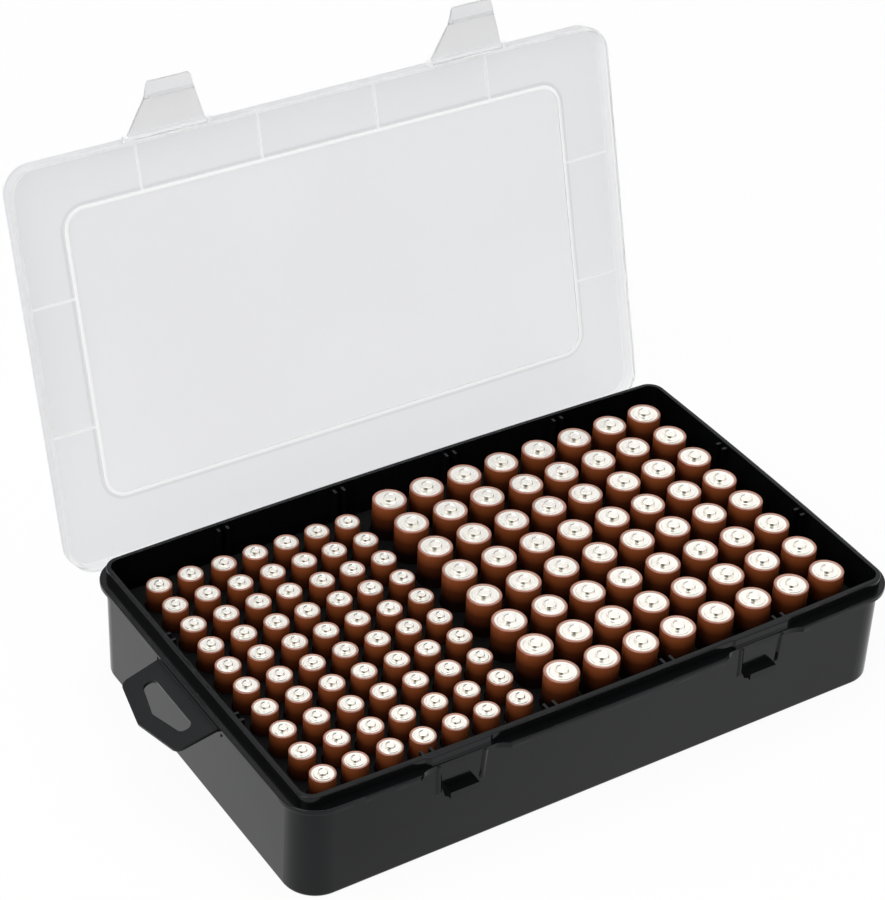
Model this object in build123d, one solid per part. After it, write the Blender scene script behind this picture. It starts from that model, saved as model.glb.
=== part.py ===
from build123d import *
import math
import os

# Storage case for upright dry cells: black box, clear hinged lid with two latches, loop on the left
# wall, block with round holes, 64 large and 70 small cells.
# Millimetres. X to the right along the front, Y to the back, Z up. The origin is the middle of the
# case's flat bottom. The lid is drawn closed and then swung open to its stop, where it rests.

# ---- case wall -----------------------------------------------------------------------------------
CASE_WIDTH = 276.6            # outside of the wall, left to right
CASE_DEPTH = 167.7            # outside of the wall, front to back
WALL_CORNER = 13.0
FOOT_CORNER = 14.0
FOOT_ROUND = 1.4              # rounding under the wall's lower edge
FLOOR = 1.8
WALL = 3.4
CAVITY_CORNER = 5.2
BOW_FRONT = 2.2               # how far the middle of each wall's top bellies out
BOW_BACK = 1.8
BOW_RIGHT = 0.9
BOW_LEFT = 0.24

# ---- ledge and rim -------------------------------------------------------------------------------
LEDGE_TOP = 46.0
LEDGE_THICK = 2.4
LEDGE_OUT = 2.8               # how far the ledge stands out of the wall
LEDGE_CORNER = 15.8
LEDGE_ROUND = 0.45
LEDGE_LAP = 0.85              # ledge's inner edge, inside the rim's outer face
RIM_TALL = 4.3                # rim above the ledge
RIM_INSET = 1.5               # rim's outer face, inside the wall's outer face
RIM_CORNER = 7.0
RIM_ROUND = 0.5

# ---- inner ribs ----------------------------------------------------------------------------------
RIB_PITCH_X = 55.1            # pairs on the front and back walls
RIB_PITCH_Y = 55.0            # pairs on the side walls
RIB_PAIRS_X = 4
RIB_PAIRS_Y = 2
RIB_SPACING = 4.2             # middle to middle within a pair
RIB_THICK = 1.2
RIB_FACE_INSET = 5.65         # inner edge of the ribs, inside the straight wall's outer face
RIB_DROP = 1.0                # rib tops below the rim's top
RIB_ROOT = 1.2                # how deep a rib runs into the wall

# ---- cells ---------------------------------------------------------------------------------------
LARGE_DIA = 14.5
LARGE_LENGTH = 50.5
LARGE_NUB_DIA = 5.4
LARGE_NUB = 1.3
LARGE_COLUMNS = 8
LARGE_ROWS = 8
LARGE_PITCH_X = 18.71
LARGE_PITCH_Y = 18.43
LARGE_MARGIN_X = 21.23        # last column's middle, inside the right wall's outer face
LARGE_MARGIN_Y = 21.95        # first row's middle, inside the back wall's outer face
SMALL_DIA = 10.5
SMALL_LENGTH = 44.5
SMALL_NUB_DIA = 3.8
SMALL_NUB = 1.1
SMALL_COLUMNS = 7
SMALL_ROWS = 10
SMALL_PITCH_X = 14.62
SMALL_PITCH_Y = 14.50
SMALL_MARGIN_X = 18.1         # first column's middle, inside the left wall's outer face
SMALL_MARGIN_Y = 20.05
JACKET_THICK = 0.25
JACKET_LIP = 0.95             # width of the ring that the jacket folds over the can's shoulder
JACKET_FOOT = 0.7             # bare can below the jacket
CAN_ROUND = 0.4

# ---- cell holder ---------------------------------------------------------------------------------
HOLDER_INSET = 5.95           # holder's side, inside the straight wall's outer face
HOLDER_CORNER = 4.0
HOLDER_TOP = 35.0
SOCKET_CLEARANCE = 0.4        # round a cell, on the radius

# ---- lid -----------------------------------------------------------------------------------------
LID_OVER_SIDES = 2.55         # lid's faces outside the straight wall's
LID_OVER_FRONT = 2.79
LID_OVER_BACK = 2.45
LID_CORNER = 12.0
LID_GAP = 0.4                 # skirt above the ledge when closed
LID_HEIGHT = 8.2
LID_WALL = 1.3
LID_ROUND = 1.1
BEAD_INSET_SIDES = 23.3       # bead's middle line, inside the lid's faces
BEAD_INSET_FRONT = 23.04
BEAD_INSET_BACK = 26.7
BEAD_CORNER = 8.8
BEAD_BROAD = 1.7
BEAD_TALL = 0.6
LID_RIB_THICK = 0.9
LID_RIB_TALL = 0.55
LID_OPEN_ANGLE = 105.5

# ---- lid hinge -----------------------------------------------------------------------------------
HINGE_OUT = 0.6               # hinge axis behind the lid's back face
HINGE_DOWN = 9.2              # hinge axis below the ledge's underside
HINGE_FROM_END = 33.3         # middle of each hinge, inside the side wall's outer face
KNUCKLE_RADIUS = 2.2
KNUCKLE_WIDTH = 16.0
ARM_THICK = 2.2
EAR_RADIUS = 3.0
EAR_WIDTH = 4.0
HINGE_END_GAP = 0.35          # knuckle to ear, and arm to ledge notch
PIN_RADIUS = 1.0
PIN_RUNNING_FIT = 0.06
PIN_SEAT_FIT = 0.02

# ---- latches -------------------------------------------------------------------------------------
LATCH_FROM_END = 67.8         # middle of each latch, inside the side wall's outer face
LATCH_AXIS_OUT = 1.35         # hinge axis in front of the lid's front face
LATCH_AXIS_UP = 1.6           # hinge axis above the ledge when closed
LATCH_BARREL_RADIUS = 1.0
LATCH_BARREL_PROUD = 0.05     # barrel's ends outside the tab's root
LATCH_ROOT_WIDTH = 34.4
LATCH_CREASE_WIDTH = 22.0
LATCH_TIP_WIDTH = 18.8
LATCH_REACH = 17.4            # axis to crease
LATCH_TIP = 6.9
LATCH_TIP_BEND = 14.0
LATCH_TIP_CORNER = 1.8
LATCH_THICK = 1.2
LATCH_OFFSET = 0.1            # tab's inner face outside the hinge axis
LATCH_FOLD = 25.0             # at rest, from the lid's plane towards closed
LATCH_PEG_RADIUS = 0.55
LATCH_PEG_LENGTH = 1.3
LATCH_PEG_FIT = 0.06
LUG_RADIUS = 1.1
LUG_WIDTH = 1.9
LUG_END_GAP = 0.3
HOOK_WIDTH = 19.0
HOOK_TALL = 1.0
HOOK_PROUD = 1.3
HOOK_CLEARANCE = 0.5          # hook's arc below the catch's front corner

# ---- catches and the ledge's gap at each latch ---------------------------------------------------
CATCH_WIDTH = 12.8
CATCH_DOWN = 12.5             # catch's top below the ledge's top
CATCH_LIP = 3.0               # height of the catch's front face
CATCH_OUT = 4.6               # catch's front face, in front of the wall's straight corner
CATCH_UNDERCUT = 1.5          # flat part of the catch's underside
CATCH_FALL = 0.6              # how far the top runs down towards the front
CATCH_HEEL = 3.0              # how far the underside runs down to the wall
GUIDE_SPACING_TOP = 20.4
GUIDE_SPACING_FOOT = 19.0
GUIDE_DOWN = 1.0              # guides' tops below the ledge's top
GUIDE_PAST_CATCH = 2.0        # guides' feet below the catch's top
GUIDE_THICK = 0.6
GUIDE_PROUD_TOP = 0.7
GUIDE_PROUD_FOOT = 0.4
GAP_HALF = 12.9               # ledge quite gone within this distance of the latch's middle
GAP_RUN_OUT = 9.0             # length of the curved end on each side
PAD_OUT = 0.85                # rim thickened outwards there

# ---- side loop -----------------------------------------------------------------------------------
LOOP_AXIS_IN = 1.24           # hinge axis inside the ledge's outer edge
LOOP_AXIS_DOWN = 3.0          # hinge axis below the ledge's top
LOOP_BARREL_RADIUS = 1.2
LOOP_HALF_ROOT = 24.0
LOOP_HALF_OUT = 23.0
LOOP_SHOULDER = 18.3          # axis to the corners
LOOP_PEAK = 23.0              # axis to the middle of the outer edge
LOOP_CORNER = 4.0
LOOP_THICK = 1.3
LOOP_ANGLE = 75.0             # at rest, up from hanging
LOOP_HOLE_NEAR = 6.9
LOOP_HOLE_HALF = 15.9
LOOP_HOLE_END = 12.3
LOOP_HOLE_PEAK = 16.3
LOOP_HOLE_CORNER = 2.6
LOOP_PEG_RADIUS = 0.6
LOOP_PEG_LENGTH = 2.2
LOOP_PEG_FIT = 0.06
LOOP_END_GAP = 0.4
LOOP_RUNNING_GAP = 0.4        # barrel to the ledge's recess above it
LOOP_EAR_WIDTH = 2.6

# ---- worked out from the sizes above -------------------------------------------------------------
HALF_W = CASE_WIDTH / 2
HALF_D = CASE_DEPTH / 2
BOWS = (BOW_FRONT, BOW_RIGHT, BOW_BACK, BOW_LEFT)
NO_BOWS = (0.0, 0.0, 0.0, 0.0)
LEDGE_FOOT = LEDGE_TOP - LEDGE_THICK
RIM_TOP = LEDGE_TOP + RIM_TALL
LARGE_FIRST_X = HALF_W - LARGE_MARGIN_X - (LARGE_COLUMNS - 1) * LARGE_PITCH_X
LARGE_FIRST_Y = HALF_D - LARGE_MARGIN_Y
SMALL_FIRST_X = -HALF_W + SMALL_MARGIN_X
SMALL_FIRST_Y = HALF_D - SMALL_MARGIN_Y
LID_WIDTH = 2 * (HALF_W + LID_OVER_SIDES)
LID_FRONT = HALF_D + LID_OVER_FRONT           # lid's front face, in front of the middle
LID_BACK = HALF_D + LID_OVER_BACK
LID_FOOT = LEDGE_TOP + LID_GAP
LID_TOP = LID_FOOT + LID_HEIGHT
LID_INSIDE = LID_TOP - LID_WALL
BEAD_WIDTH = LID_WIDTH - 2 * BEAD_INSET_SIDES
BEAD_DEPTH = LID_FRONT + LID_BACK - BEAD_INSET_FRONT - BEAD_INSET_BACK
BEAD_MIDDLE_Y = (LID_BACK - BEAD_INSET_BACK - LID_FRONT + BEAD_INSET_FRONT) / 2
HINGE_X = HALF_W - HINGE_FROM_END             # middle of each hinge, either side
HINGE_Y = LID_BACK + HINGE_OUT
HINGE_Z = LEDGE_FOOT - HINGE_DOWN
LATCH_X = HALF_W - LATCH_FROM_END             # middle of each latch, either side
LATCH_AXIS_Y = -(LID_FRONT + LATCH_AXIS_OUT)
LATCH_AXIS_Z = LEDGE_TOP + LATCH_AXIS_UP
LOOP_AXIS_X = -(HALF_W + BOW_LEFT + LEDGE_OUT - LOOP_AXIS_IN)
LOOP_AXIS_Z = LEDGE_TOP - LOOP_AXIS_DOWN
CATCH_TOP = LEDGE_TOP - CATCH_DOWN
CATCH_FRONT = HALF_D + CATCH_OUT              # catch's front face, in front of the middle
CATCH_FOOT = CATCH_TOP - CATCH_FALL - CATCH_LIP
GUIDE_TOP = LEDGE_TOP - GUIDE_DOWN
GUIDE_FOOT = CATCH_TOP - GUIDE_PAST_CATCH
CUT_PAST = 5.0                # how far a cutting solid reaches past what it cuts
LEVEL_WITHIN = 0.01           # edges this near a height count as lying at it
LID_AXIS = Axis((0, HINGE_Y, HINGE_Z), (1, 0, 0))


# ---- helpers -------------------------------------------------------------------------------------
def bowed_face(inset, corner, z, bows):
    """The case's outline, drawn in by inset, with each side bellied out by its bow."""
    x = HALF_W - inset
    y = HALF_D - inset
    front, right, back, left = bows
    with BuildSketch(Plane.XY.offset(z)) as sketch:
        with BuildLine():
            sides = [
                side((-x + corner, -y), (x - corner, -y), (0, -y - front)),
                side((x, -y + corner), (x, y - corner), (x + right, 0)),
                side((x - corner, y), (-x + corner, y), (0, y + back)),
                side((-x, y - corner), (-x, -y + corner), (-x - left, 0)),
            ]
            for first, second in zip(sides, sides[1:] + sides[:1]):
                RadiusArc(first @ 1, second @ 0, -corner)
        make_face()
    return sketch.sketch.face()


def side(start, end, middle):
    """One side of the outline, straight where it has no bow."""
    same_x = math.isclose(middle[0], (start[0] + end[0]) / 2)
    same_y = math.isclose(middle[1], (start[1] + end[1]) / 2)
    if same_x and same_y:
        return Line(start, end)
    return ThreePointArc(start, middle, end)


def prism_x(points, x_from, x_to):
    """A solid of constant section across X, from (y, z) points."""
    outline = Polyline(*[(x_from, y, z) for y, z in points], close=True)
    return extrude(make_face(outline), amount=x_to - x_from, dir=(1, 0, 0))


def rod_x(radius, x_from, x_to, y, z):
    """A round rod along X."""
    end = Plane(origin=(x_from, y, z), x_dir=(0, 1, 0), z_dir=(1, 0, 0))
    return extrude(end * Circle(radius), amount=x_to - x_from)


def rod_y(radius, y_from, y_to, x, z):
    """A round rod along Y."""
    end = Plane(origin=(x, y_from, z), x_dir=(0, 0, 1), z_dir=(0, 1, 0))
    return extrude(end * Circle(radius), amount=y_to - y_from)


def block(x_from, x_to, y_from, y_to, z_from, z_to):
    """A box from its limits."""
    middle = Pos((x_from + x_to) / 2, (y_from + y_to) / 2, (z_from + z_to) / 2)
    return middle * Box(x_to - x_from, y_to - y_from, z_to - z_from)


def top_edges(solid, z):
    """The edges that lie flat at height z."""
    return solid.edges().filter_by_position(Axis.Z, z - LEVEL_WITHIN, z + LEVEL_WITHIN)


def bow_at(x, bow, straight_half):
    """How far a bowed side stands out at a distance x from its middle."""
    return bow * (1 - (x / straight_half) ** 2)


def write(name, shape):
    """Write one node's solids."""
    export_step(shape, os.path.join("parts", name + ".step"))


# ---- case base -----------------------------------------------------------------------------------
def case_shell():
    """Wall and floor up to the ledge, with the rim standing on it."""
    foot = bowed_face(0, FOOT_CORNER, 0, NO_BOWS)
    shoulder = bowed_face(0, WALL_CORNER, LEDGE_TOP, BOWS)
    wall = loft([foot, shoulder], ruled=True)
    wall = fillet(top_edges(wall, 0), FOOT_ROUND)
    plan = Sketch() + bowed_face(RIM_INSET, RIM_CORNER, LEDGE_FOOT, BOWS)
    plan = plan + [rim_pad(-LATCH_X), rim_pad(LATCH_X)]
    rim = extrude(plan, amount=RIM_TOP - LEDGE_FOOT)
    rim = fillet(top_edges(rim, RIM_TOP), RIM_ROUND)
    shell = wall + rim
    inner_foot = bowed_face(WALL, CAVITY_CORNER, FLOOR, NO_BOWS)
    inner_top = bowed_face(WALL, CAVITY_CORNER, RIM_TOP + CUT_PAST, BOWS)
    return shell - loft([inner_foot, inner_top], ruled=True)


def rim_pad(middle):
    """Where the rim's outer face comes forward behind a latch, almost flush with the wall."""
    back = -(HALF_D - WALL)
    face = -(HALF_D - RIM_INSET + bow_at(LATCH_X, BOW_FRONT, HALF_W - WALL_CORNER))
    near = middle - GAP_HALF
    far = middle + GAP_HALF
    outline = Polyline(
        (near, face - PAD_OUT, LEDGE_FOOT), (far, face - PAD_OUT, LEDGE_FOOT),
        (far + GAP_RUN_OUT, back, LEDGE_FOOT), (near - GAP_RUN_OUT, back, LEDGE_FOOT), close=True)
    return make_face(outline)


def ledge():
    """The ledge round the wall, without its gaps."""
    outline = bowed_face(-LEDGE_OUT, LEDGE_CORNER, LEDGE_FOOT, BOWS)
    plate = extrude(outline, amount=LEDGE_THICK)
    plate = fillet(plate.edges().group_by(Axis.Z)[0] + plate.edges().group_by(Axis.Z)[-1], LEDGE_ROUND)
    hole = extrude(bowed_face(RIM_INSET + LEDGE_LAP, RIM_CORNER, LEDGE_FOOT, BOWS), amount=LEDGE_THICK)
    plate = plate - hole
    for middle in (-LATCH_X, LATCH_X):
        plate = plate - latch_gap(middle)
    for middle in (-HINGE_X, HINGE_X):
        plate = plate - hinge_notch(middle)
    return plate - loop_recess()


def latch_gap(middle):
    """What is cut from the ledge at a latch: its edge curves in to the wall on both sides."""
    wall_face = -(HALF_D + bow_at(LATCH_X, BOW_FRONT, HALF_W - WALL_CORNER))
    edge = wall_face - LEDGE_OUT - BOW_FRONT
    near = middle - GAP_HALF
    far = middle + GAP_HALF
    with BuildSketch(Plane.XY.offset(LEDGE_FOOT - CUT_PAST)) as sketch:
        with BuildLine():
            inner = Line((near, wall_face), (far, wall_face))
            right = TangentArc(inner @ 1, (far + GAP_RUN_OUT, edge), tangent=(1, 0))
            outer = Line(right @ 1, (near - GAP_RUN_OUT, edge))
            TangentArc(inner @ 0, outer @ 1, tangent=(-1, 0))
        make_face()
    return extrude(sketch.sketch.face(), amount=LEDGE_THICK + 2 * CUT_PAST)


def hinge_notch(middle):
    """Room in the ledge for a lid arm."""
    half = KNUCKLE_WIDTH / 2 + HINGE_END_GAP
    inner = HALF_D + bow_at(HINGE_X, BOW_BACK, HALF_W - WALL_CORNER)
    return block(middle - half, middle + half, inner, inner + LEDGE_OUT + CUT_PAST,
                 LEDGE_FOOT - CUT_PAST, LEDGE_TOP + CUT_PAST)


def loop_recess():
    """Room under the ledge for the side loop's barrel."""
    half = LOOP_HALF_ROOT + LOOP_END_GAP
    inner = -(HALF_W + BOW_LEFT)
    roof = LOOP_AXIS_Z + LOOP_BARREL_RADIUS + LOOP_RUNNING_GAP
    return block(inner - LEDGE_OUT - CUT_PAST, inner, -half, half, LEDGE_FOOT - CUT_PAST, roof)


def loop_ear(hand):
    """Ear under the ledge that carries one of the side loop's pegs."""
    near = hand * (LOOP_HALF_ROOT + LOOP_END_GAP)
    far = near + hand * LOOP_EAR_WIDTH
    outer = LOOP_AXIS_X - LOOP_BARREL_RADIUS
    root = -(HALF_W - RIB_ROOT)
    foot = LOOP_AXIS_Z - LOOP_BARREL_RADIUS
    return block(outer, root, min(near, far), max(near, far), foot, LEDGE_FOOT + LEDGE_THICK / 2)


def loop_peg_bore():
    """Bores in both ears for the loop's pegs."""
    reach = LOOP_HALF_ROOT + LOOP_PEG_LENGTH + LOOP_END_GAP
    return rod_y(LOOP_PEG_RADIUS + LOOP_PEG_FIT, -reach, reach, LOOP_AXIS_X, LOOP_AXIS_Z)


def inner_ribs():
    """Pairs of thin ribs that keep the cell holder off the walls."""
    face_x = HALF_W - RIB_FACE_INSET
    face_y = HALF_D - RIB_FACE_INSET
    top = RIM_TOP - RIB_DROP
    ribs = []
    for pair in range(RIB_PAIRS_X):
        for step in (-RIB_SPACING / 2, RIB_SPACING / 2):
            x = (pair - (RIB_PAIRS_X - 1) / 2) * RIB_PITCH_X + step
            near = x - RIB_THICK / 2
            far = x + RIB_THICK / 2
            ribs.append(block(near, far, -HALF_D + WALL - RIB_ROOT, -face_y, FLOOR, top))
            ribs.append(block(near, far, face_y, HALF_D - WALL + RIB_ROOT, FLOOR, top))
    for pair in range(RIB_PAIRS_Y):
        for step in (-RIB_SPACING / 2, RIB_SPACING / 2):
            y = (pair - (RIB_PAIRS_Y - 1) / 2) * RIB_PITCH_Y + step
            near = y - RIB_THICK / 2
            far = y + RIB_THICK / 2
            ribs.append(block(-HALF_W + WALL - RIB_ROOT, -face_x, near, far, FLOOR, top))
            ribs.append(block(face_x, HALF_W - WALL + RIB_ROOT, near, far, FLOOR, top))
    return ribs


def catch(middle):
    """Hooked ledge on the front wall that the latch snaps under."""
    wall_face = -(HALF_D - RIB_ROOT)
    outline = [
        (wall_face, CATCH_TOP),
        (-CATCH_FRONT, CATCH_TOP - CATCH_FALL),
        (-CATCH_FRONT, CATCH_FOOT),
        (-CATCH_FRONT + CATCH_UNDERCUT, CATCH_FOOT),
        (wall_face, CATCH_FOOT - CATCH_HEEL),
    ]
    return prism_x(outline, middle - CATCH_WIDTH / 2, middle + CATCH_WIDTH / 2)


def guide_rib(middle, hand):
    """One of the two thin ribs beside a catch, closer together and shallower towards the foot."""
    root = -(HALF_D - RIB_ROOT)
    face = -(HALF_D + bow_at(LATCH_X, BOW_FRONT, HALF_W - WALL_CORNER))
    top_x = middle + hand * GUIDE_SPACING_TOP / 2
    foot_x = middle + hand * GUIDE_SPACING_FOOT / 2
    half = GUIDE_THICK / 2
    upper = guide_section(top_x, half, root, face - GUIDE_PROUD_TOP, GUIDE_TOP)
    lower = guide_section(foot_x, half, root, face - GUIDE_PROUD_FOOT, GUIDE_FOOT)
    return loft([lower, upper], ruled=True)


def guide_section(x, half, root, front, z):
    """A guide rib's flat section at height z."""
    outline = Polyline(
        (x - half, root, z), (x + half, root, z), (x + half, front, z), (x - half, front, z), close=True)
    return make_face(outline)


def hinge_ear(x_from, x_to):
    """Bracket under the back ledge that holds one end of a hinge pin."""
    root = HALF_D - RIB_ROOT
    plate = prism_x([
        (root, HINGE_Z - EAR_RADIUS),
        (HINGE_Y, HINGE_Z - EAR_RADIUS),
        (HINGE_Y + EAR_RADIUS, HINGE_Z),
        (HINGE_Y + LEDGE_OUT / 2, LEDGE_FOOT + LEDGE_THICK / 2),
        (root, LEDGE_FOOT + LEDGE_THICK / 2),
    ], x_from, x_to)
    ear = plate + rod_x(EAR_RADIUS, x_from, x_to, HINGE_Y, HINGE_Z)
    return ear - rod_x(PIN_RADIUS + PIN_SEAT_FIT, x_from - CUT_PAST, x_to + CUT_PAST, HINGE_Y, HINGE_Z)


def hinge_ears():
    """Two ears at each hinge."""
    inner = KNUCKLE_WIDTH / 2 + HINGE_END_GAP
    outer = inner + EAR_WIDTH
    ears = []
    for middle in (-HINGE_X, HINGE_X):
        ears.append(hinge_ear(middle - outer, middle - inner))
        ears.append(hinge_ear(middle + inner, middle + outer))
    return ears


def case_base():
    """The whole black moulding."""
    base = case_shell() + ledge()
    base = base + inner_ribs() + hinge_ears() + [loop_ear(-1), loop_ear(1)]
    for middle in (-LATCH_X, LATCH_X):
        base = base + [catch(middle), guide_rib(middle, -1), guide_rib(middle, 1)]
    return base - loop_peg_bore()


def hinge_pin(middle):
    """Steel pin through the ears and the lid's knuckle."""
    half = KNUCKLE_WIDTH / 2 + HINGE_END_GAP + EAR_WIDTH
    return rod_x(PIN_RADIUS, middle - half, middle + half, HINGE_Y, HINGE_Z)


# ---- cell holder and cells -----------------------------------------------------------------------
def cell_places(first_x, first_y, pitch_x, pitch_y, columns, rows):
    """Middles of the cells, one list for each column."""
    return [[(first_x + i * pitch_x, first_y - j * pitch_y) for j in range(rows)] for i in range(columns)]


LARGE_PLACES = cell_places(
    LARGE_FIRST_X, LARGE_FIRST_Y, LARGE_PITCH_X, LARGE_PITCH_Y, LARGE_COLUMNS, LARGE_ROWS)
SMALL_PLACES = cell_places(
    SMALL_FIRST_X, SMALL_FIRST_Y, SMALL_PITCH_X, SMALL_PITCH_Y, SMALL_COLUMNS, SMALL_ROWS)


def cell_holder():
    """Block with a through hole for every cell, standing on the floor."""
    half_x = HALF_W - HOLDER_INSET
    half_y = HALF_D - HOLDER_INSET
    large_hole = Circle(LARGE_DIA / 2 + SOCKET_CLEARANCE)
    small_hole = Circle(SMALL_DIA / 2 + SOCKET_CLEARANCE)
    large = [Pos(x, y) * large_hole for column in LARGE_PLACES for x, y in column]
    small = [Pos(x, y) * small_hole for column in SMALL_PLACES for x, y in column]
    outline = RectangleRounded(2 * half_x, 2 * half_y, HOLDER_CORNER)
    plan = outline - large - small
    return extrude(Plane.XY.offset(FLOOR) * plan, amount=HOLDER_TOP - FLOOR)


def can(x, y, diameter, length, nub_diameter, nub):
    """Steel can of one cell with its raised contact."""
    radius = diameter / 2 - JACKET_THICK
    shoulder = FLOOR + length - nub - JACKET_THICK
    body = Pos(x, y, (FLOOR + shoulder) / 2) * Cylinder(radius, shoulder - FLOOR)
    body = chamfer(body.edges().filter_by(GeomType.CIRCLE), CAN_ROUND)
    top = FLOOR + length
    tall = top - shoulder + 2 * CAN_ROUND
    contact = Pos(x, y, (shoulder + top) / 2 - CAN_ROUND) * Cylinder(nub_diameter / 2, tall)
    contact = fillet(contact.edges().group_by(Axis.Z)[-1], CAN_ROUND)
    return body + contact


def jacket(x, y, diameter, length, nub):
    """Printed sleeve of one cell, folded over the can's shoulder as a ring."""
    outer = diameter / 2
    inner = outer - JACKET_THICK
    foot = FLOOR + JACKET_FOOT
    lip = FLOOR + length - nub
    section = Polyline(
        (outer, foot), (outer, lip - JACKET_THICK), (outer - JACKET_THICK, lip), (outer - JACKET_LIP, lip),
        (outer - JACKET_LIP, lip - JACKET_THICK), (inner - CAN_ROUND, lip - JACKET_THICK),
        (inner, lip - JACKET_THICK - CAN_ROUND), (inner, foot), close=True)
    profile = Plane.XZ * make_face(section)
    return Pos(x, y, 0) * revolve(profile, Axis.Z)


# ---- lid, drawn closed ---------------------------------------------------------------------------
def lid_outline(inset, z):
    """The lid's rounded rectangle, drawn in by inset."""
    depth = LID_FRONT + LID_BACK - 2 * inset
    middle = (LID_BACK - LID_FRONT) / 2
    corner = LID_CORNER - inset
    return Plane.XY.offset(z) * (Pos(0, middle) * RectangleRounded(LID_WIDTH - 2 * inset, depth, corner))


def lid_tray():
    """Top panel with its skirt."""
    outer = extrude(lid_outline(0, LID_FOOT), amount=LID_HEIGHT)
    outer = fillet(top_edges(outer, LID_TOP), LID_ROUND)
    return outer - extrude(lid_outline(LID_WALL, LID_FOOT), amount=LID_HEIGHT - LID_WALL)


def bead():
    """Raised rectangle on the inside of the panel."""
    half = BEAD_BROAD / 2
    middle = Pos(0, BEAD_MIDDLE_Y)
    outer = RectangleRounded(BEAD_WIDTH + BEAD_BROAD, BEAD_DEPTH + BEAD_BROAD, BEAD_CORNER + half)
    inner = RectangleRounded(BEAD_WIDTH - BEAD_BROAD, BEAD_DEPTH - BEAD_BROAD, BEAD_CORNER - half)
    plan = middle * (outer - inner)
    return extrude(Plane.XY.offset(LID_INSIDE - BEAD_TALL) * plan, amount=BEAD_TALL + LID_WALL / 2)


def lid_ribs():
    """Thin ribs from the bead out to the skirt, front and both sides."""
    low = LID_INSIDE - LID_RIB_TALL
    high = LID_INSIDE + LID_WALL / 2
    front = -LID_FRONT + LID_WALL / 2
    edge = LID_WIDTH / 2 - LID_WALL / 2
    half = LID_RIB_THICK / 2
    ribs = []
    for pair in range(RIB_PAIRS_X):
        x = (pair - (RIB_PAIRS_X - 1) / 2) * RIB_PITCH_X
        ribs.append(block(x - half, x + half, front, BEAD_MIDDLE_Y - BEAD_DEPTH / 2, low, high))
    for pair in range(RIB_PAIRS_Y):
        y = (pair - (RIB_PAIRS_Y - 1) / 2) * RIB_PITCH_Y
        ribs.append(block(-edge, -BEAD_WIDTH / 2, y - half, y + half, low, high))
        ribs.append(block(BEAD_WIDTH / 2, edge, y - half, y + half, low, high))
    return ribs


def lid_arm(middle):
    """Arm from the back skirt down through the ledge's notch to the knuckle."""
    half = KNUCKLE_WIDTH / 2
    back = HINGE_Y + KNUCKLE_RADIUS
    arm = prism_x([
        (back - ARM_THICK, HINGE_Z),
        (back - ARM_THICK, LID_FOOT),
        (LID_BACK - LID_WALL, LID_FOOT + ARM_THICK),
        (LID_BACK, LID_FOOT + LID_HEIGHT / 2),
        (back, LID_FOOT + ARM_THICK),
        (back, HINGE_Z),
    ], middle - half, middle + half)
    knuckle = rod_x(KNUCKLE_RADIUS, middle - half, middle + half, HINGE_Y, HINGE_Z)
    bore_radius = PIN_RADIUS + PIN_RUNNING_FIT
    bore = rod_x(bore_radius, middle - half - CUT_PAST, middle + half + CUT_PAST, HINGE_Y, HINGE_Z)
    return arm + knuckle - bore


def latch_lug(middle, hand):
    """Lug on the front skirt that carries one peg of a latch."""
    near = LATCH_ROOT_WIDTH / 2 + LATCH_BARREL_PROUD + LUG_END_GAP
    x_from = middle + hand * near
    x_to = middle + hand * (near + LUG_WIDTH)
    low, high = min(x_from, x_to), max(x_from, x_to)
    skirt = -LID_FRONT + LID_WALL / 2
    web = prism_x([
        (skirt, LID_FOOT),
        (LATCH_AXIS_Y, LATCH_AXIS_Z - LUG_RADIUS),
        (LATCH_AXIS_Y, LATCH_AXIS_Z + LUG_RADIUS),
        (skirt, LATCH_AXIS_Z + 2 * LUG_RADIUS),
    ], low, high)
    return web + rod_x(LUG_RADIUS, low, high, LATCH_AXIS_Y, LATCH_AXIS_Z)


def latch_bore(middle):
    """Bores through both lugs of one latch."""
    reach = LATCH_ROOT_WIDTH / 2 + 2 * LUG_END_GAP + LATCH_PEG_LENGTH
    return rod_x(LATCH_PEG_RADIUS + LATCH_PEG_FIT, middle - reach, middle + reach, LATCH_AXIS_Y, LATCH_AXIS_Z)


def lid_closed():
    """The whole clear moulding."""
    lid = lid_tray() + bead() + lid_ribs()
    for middle in (-HINGE_X, HINGE_X):
        lid = lid + lid_arm(middle)
    for middle in (-LATCH_X, LATCH_X):
        lid = lid + [latch_lug(middle, -1), latch_lug(middle, 1)]
        lid = lid - latch_bore(middle)
    return lid


# ---- latch, drawn flat along -Y from its axis ----------------------------------------------------
def latch_flat(middle):
    """Tab with barrel, pegs, hook and bent tip, in line with the lid's panel."""
    half_barrel = LATCH_ROOT_WIDTH / 2 + LATCH_BARREL_PROUD
    z = LATCH_AXIS_Z + LATCH_OFFSET
    barrel = rod_x(
        LATCH_BARREL_RADIUS, middle - half_barrel, middle + half_barrel, LATCH_AXIS_Y, LATCH_AXIS_Z)
    peg_reach = half_barrel + LUG_END_GAP + LATCH_PEG_LENGTH
    pegs = rod_x(LATCH_PEG_RADIUS, middle - peg_reach, middle + peg_reach, LATCH_AXIS_Y, LATCH_AXIS_Z)
    return latch_tab(middle, z) + barrel + pegs + latch_hook(middle, z)


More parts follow.
